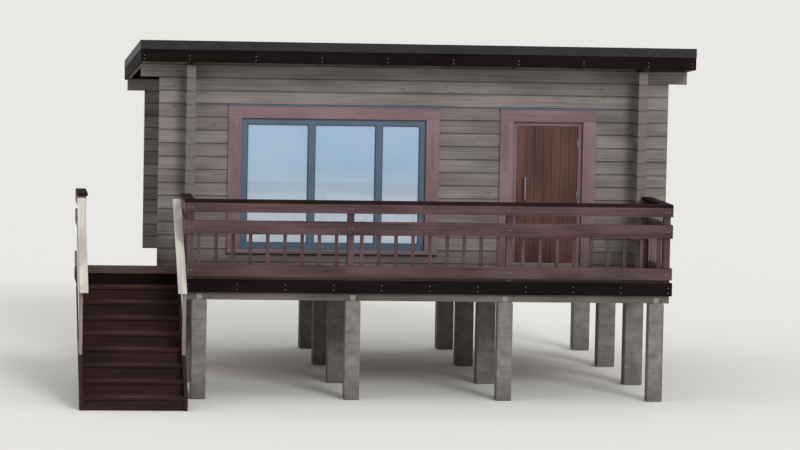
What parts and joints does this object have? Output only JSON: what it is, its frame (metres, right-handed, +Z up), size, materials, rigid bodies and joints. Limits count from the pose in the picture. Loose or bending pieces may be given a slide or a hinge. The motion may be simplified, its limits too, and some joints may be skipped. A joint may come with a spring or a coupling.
{
  "type": "sauna cabin",
  "caption": "Squared-log sauna cabin with a low roof, a wide window, a railed deck along the front and a flight of steps, raised on concrete piers",
  "frame": {"origin": "on the ground, in the middle of the building's length and depth over its roof and steps", "axes": "+X to the right along the front wall, +Y from the front to the back, +Z up"},
  "size_m": [8.344, 8.274, 4.6321],
  "materials": {
    "bearer_timber": "weathered grey",
    "casing_timber": "dull red-brown stain",
    "dark_timber": "dark brown stain",
    "deck_timber": "weathered boards",
    "door_timber": "red-brown stain",
    "floor_timber": "planed boards",
    "handle_metal": "brushed",
    "handrail_timber": "sun-bleached flat top",
    "log_wall": "weathered grey squared logs, sawn",
    "pane_glass": "clear sealed unit",
    "pier_concrete": "cast concrete",
    "rail_timber": "red-brown stain, weathered",
    "roof_edge_metal": "purple-grey coil coating, matte",
    "roof_felt": "bitumen felt with mineral grit",
    "roof_timber": "sawn softwood, unfinished",
    "stair_timber": "very dark brown stain",
    "window_paint": "blue-grey coating, satin"
  },
  "bodies": {
    "root": {"concrete_piers": "pier_concrete", "cabin_bearers": "bearer_timber", "floor_joists": "roof_timber", "floor_boards": "floor_timber", "front_wall_sill_log": "log_wall", "front_wall_left": "log_wall", "front_wall_under_window": "log_wall", "front_wall_middle": "log_wall", "front_wall_right": "log_wall", "front_wall_top": "log_wall", "left_wall": "log_wall", "right_wall": "log_wall", "back_wall": "log_wall", "plate_logs": "log_wall", "rafters": "roof_timber", "eaves_blocking": "roof_timber", "roof_boards": "roof_timber", "roof_felt": "roof_felt", "eaves_fascias": "dark_timber", "verge_boards": "dark_timber", "roof_edge_trim": "roof_edge_metal", "window_frame": "window_paint", "window_glass": "pane_glass", "window_trim": "casing_timber", "door_frame": "casing_timber", "front_door": "door_timber", "door_trim": "casing_timber", "door_handle": "handle_metal", "deck_bearers": "bearer_timber", "deck_joists": "roof_timber", "deck_rim_boards": "dark_timber", "deck_floor": "deck_timber", "railing_posts": "rail_timber", "front_railing_left": "rail_timber", "front_railing_middle": "rail_timber", "front_railing_right": "rail_timber", "deck_left_railing": "rail_timber", "deck_right_railing": "rail_timber", "landing_railing": "rail_timber", "deck_handrails": "rail_timber", "stair_strings": "stair_timber", "stair_treads": "stair_timber", "stair_risers": "stair_timber", "stair_posts": "rail_timber", "stair_rails": "handrail_timber"}
  },
  "joints": []
}
